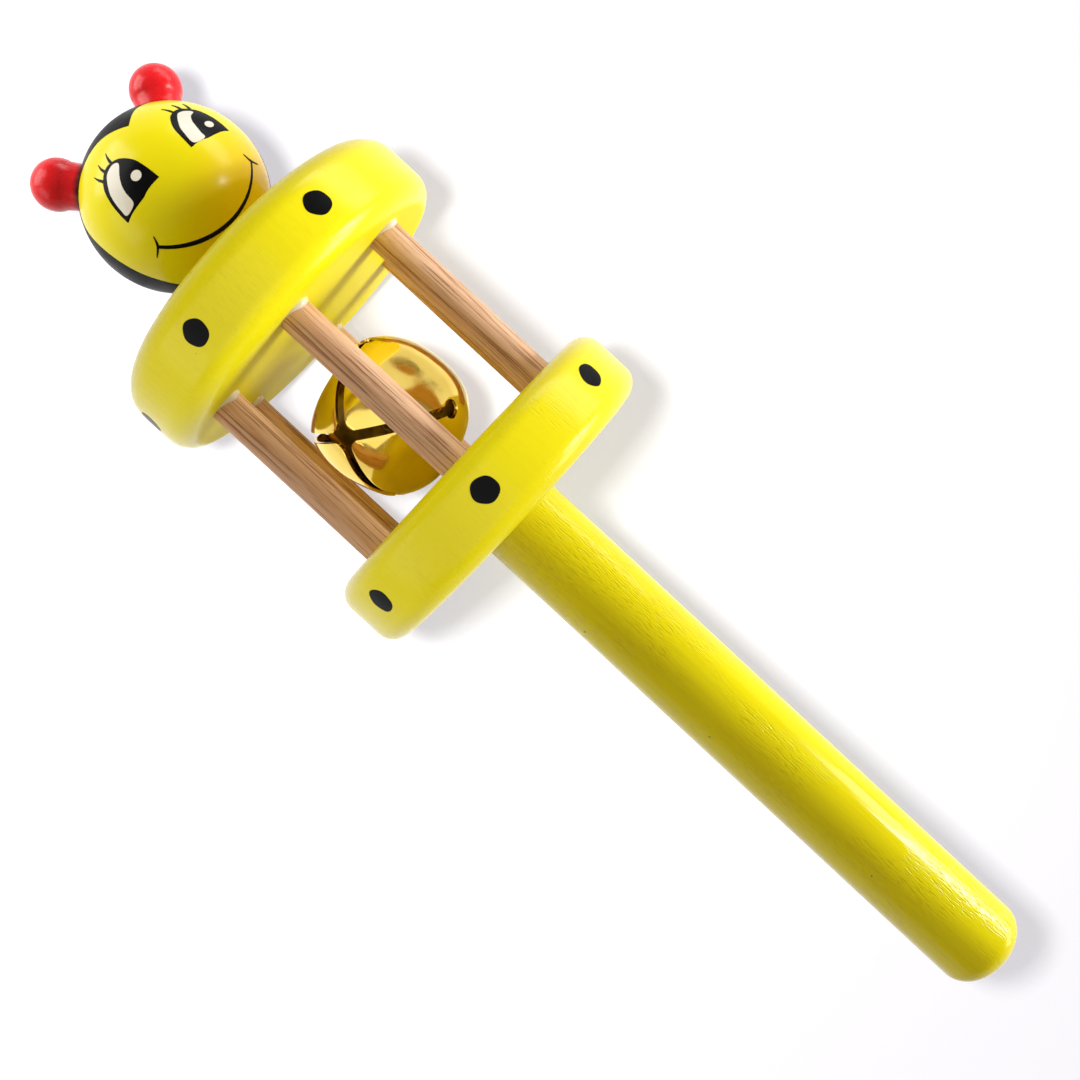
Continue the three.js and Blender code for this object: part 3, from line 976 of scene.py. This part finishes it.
def make_pellet(material):
    """Rough shot with a flattened spot where it was cut"""
    low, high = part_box("bell_pellet")
    radius = (high.x - low.x) / 2
    profile = [(-radius * 0.96, 0)] + arc((0, 0), (radius,) * 2, -74, 88, 24) + [(radius, 0)]
    shot = turned("bell_pellet_shot", profile, 40, material, Matrix.Translation((low + high) / 2))
    wear(shot, "pellet", "pellet_steel", "bell_pellet")


# Stage

def light(name, place, target, size, power):
    lamp = bpy.data.lights.new(name, "AREA")
    lamp.shape = "RECTANGLE"
    lamp.size, lamp.size_y = size
    lamp.energy = power
    obj = bpy.data.objects.new(name, lamp)
    obj.location = place
    obj.rotation_mode = "QUATERNION"
    obj.rotation_quaternion = (Vector(target) - Vector(place)).to_track_quat("-Z", "Y")
    bpy.context.scene.collection.objects.link(obj)
    return obj


def paper():
    """White paper, which glows for the camera, in mirrors and through glass, most where the lamp fades"""
    material = bpy.data.materials.new("paper")
    material.use_nodes = True
    tree = material.node_tree
    tree.nodes.clear()

    def node(kind, inputs, **settings):
        return new_node(tree, kind, inputs, **settings)

    path = node("ShaderNodeLightPath", {}).outputs
    seen = node("ShaderNodeMath", {0: path["Is Camera Ray"], 1: path["Is Glossy Ray"]}, operation="ADD")
    seen = node("ShaderNodeMath", {0: seen.outputs[0], 1: path["Is Transmission Ray"]}, operation="ADD")
    place = node("ShaderNodeTexCoord", {}).outputs["Object"]
    away = node("ShaderNodeVectorMath", {0: place}, operation="LENGTH").outputs["Value"]
    far = node("ShaderNodeMapRange", {0: away, 1: GLOW_NEAR, 2: GLOW_FAR})
    glow = node("ShaderNodeMix", {0: far.outputs[0], 6: NEAR_GLOW, 7: FAR_GLOW}, data_type="RGBA")
    white = node("ShaderNodeBsdfDiffuse", {"Color": colour(PAPER_GREY, PAPER_GREY, PAPER_GREY)})
    shine = node("ShaderNodeEmission", {"Color": glow.outputs[2], "Strength": seen.outputs[0]})
    both = node("ShaderNodeAddShader", {0: white.outputs[0], 1: shine.outputs[0]})
    node("ShaderNodeOutputMaterial", {"Surface": both.outputs[0]})
    return material


def make_floor():
    """A round sheet of paper that curves up all round into a low wall"""
    bend = arc((FLOOR_RADIUS, FLOOR_BEND), (FLOOR_BEND, -FLOOR_BEND), 0, 80, 12)
    rings = [(FLOOR_MIDDLE, 0)] + bend
    sides = 96
    verts, faces = [], []
    for reach, height in rings:
        for i in range(sides):
            angle = 2 * math.pi * i / sides
            verts.append((reach * math.cos(angle), reach * math.sin(angle), height))
    faces.append(tuple(range(sides)))
    for ring in range(len(rings) - 1):
        for i in range(sides):
            a, b = ring * sides + i, ring * sides + (i + 1) % sides
            faces.append((a, a + sides, b + sides, b))
    mesh = bpy.data.meshes.new("floor")
    mesh.from_pydata(verts, [], faces)
    mesh.materials.append(paper())
    mesh.shade_smooth()
    floor = bpy.data.objects.new("floor", mesh)
    stage_pieces.objects.link(floor)


def make_world():
    world = bpy.data.worlds.new("studio")
    bpy.context.scene.world = world
    world.use_nodes = True
    sky = world.node_tree.nodes["Background"]
    sky.inputs["Color"].default_value = SKY_TINT
    sky.inputs["Strength"].default_value = SKY_LIGHT


def pieces(name, *starts):
    """The pieces whose names start so, as a group for a lamp of their own"""
    group = bpy.data.collections.new(name)
    for obj in rattle_pieces.objects:
        if obj.name.startswith(starts):
            group.objects.link(obj)
    return group


def make_lights():
    """Lamps for all the pieces or some of them, and one beside the camera for the shadow on the table"""
    target = LAMP_TARGET
    head = pieces("head group", "head", "face", "antenna")
    ceiling = pieces("ceiling group", "lower", "upper", "bell")
    wood = pieces("wood group", "handle", "lower", "upper", "bar", "glue", "neck", "head", "face",
                  "antenna")
    upper = pieces("upper group", "upper")
    lamps = [
        (light("cage", (-0.62, -0.42, 0.12), target, (0.3, 0.3), 2.0), upper),
        (light("window", (-0.44, -0.62, 0.27), target, (0.09, 0.25), 2.0), wood),
        (light("side", (-0.5, -0.5, 0.14), target, (0.5, 0.3), 3.3), rattle_pieces),
        (light("softbox", (0.25, -0.75, 0.14), target, (0.9, 0.3), 3.6), wood),
        (light("fill", (0.2, 0.6, 0.3), target, (0.5, 0.3), 0.9), rattle_pieces),
        (light("ceiling", (0.03, 0.25, 0.7), target, (0.9, 0.9), 2.4), ceiling),
        (light("crown", (0.62, 0.2, 0.24), target, (0.5, 0.5), 3.7), head),
        (light("spark", (-0.129, -0.327, 0.169), (0.074, -0.007, 0.041), (0.03, 0.03), 0.2), head),
        (light("table", (0.049, 0.018, 0.245), (0.049, 0.018, 0), (0.032, 0.032), 0.7), stage_pieces),
    ]
    for lamp, lit in lamps:
        lamp.light_linking.receiver_collection = lit


def make_camera():
    data = bpy.data.cameras.new("camera")
    data.lens = CAMERA_LENS
    data.sensor_width = 36
    data.shift_x, data.shift_y = CAMERA_SHIFT
    data.clip_start, data.clip_end = 0.01, 20
    camera = bpy.data.objects.new("camera", data)
    bpy.context.scene.collection.objects.link(camera)
    across = Vector((0, -math.cos(CAMERA_LEAN), -math.sin(CAMERA_LEAN)))
    down_handle = Vector((-1, 0, 0))
    right = down_handle * math.cos(CAMERA_ROLL) + across * math.sin(CAMERA_ROLL)
    up = across * math.cos(CAMERA_ROLL) - down_handle * math.sin(CAMERA_ROLL)
    back = right.cross(up)
    camera.matrix_world = Matrix.Translation(CAMERA_PLACE) @ Matrix((right, up, back)).transposed().to_4x4()
    bpy.context.scene.camera = camera


make_camera()
disc_yellow = yellow_enamel("disc enamel", 0.18, 0.4, 0.006, face=DISC_FACE_RADIUS)
gold = gold_plate()
ink = black_enamel("black paint", 0.22, 0.35)
make_handle(yellow_enamel("handle enamel", 0.07, 1.0, 0.003))
make_discs(disc_yellow)
make_bars(bamboo())
make_glue_highlight_beads(glue())
make_neck_peg(bare_wood())
# The head's painted shade and bounced light towards the disc
head_reach = HEAD_CENTRE.dot(NECK_SHADE_WAY)
neck_shade = (NECK_SHADE_WAY, head_reach + NECK_SHADE_START, head_reach + NECK_SHADE_END)
make_head(yellow_enamel("head enamel", 0.2, 0.0, 0.003, neck_shade))
make_antennae(red_enamel(HEAD_CENTRE))
make_face(ink, eye_white())
make_head_back(black_enamel("back black", 0.35, 0.5))
make_rim_dots("lower_disc", LOWER_DISC_ROUNDINGS, LOWER_DOTS, ink)
make_rim_dots("upper_disc", UPPER_DISC_ROUNDINGS, UPPER_DOTS, ink)
make_bell_shell(gold)
make_bell_loop(gold)
make_pellet(pellet_steel())
make_floor()
make_world()
make_lights()
bpy.context.scene.view_settings.view_transform = "Standard"
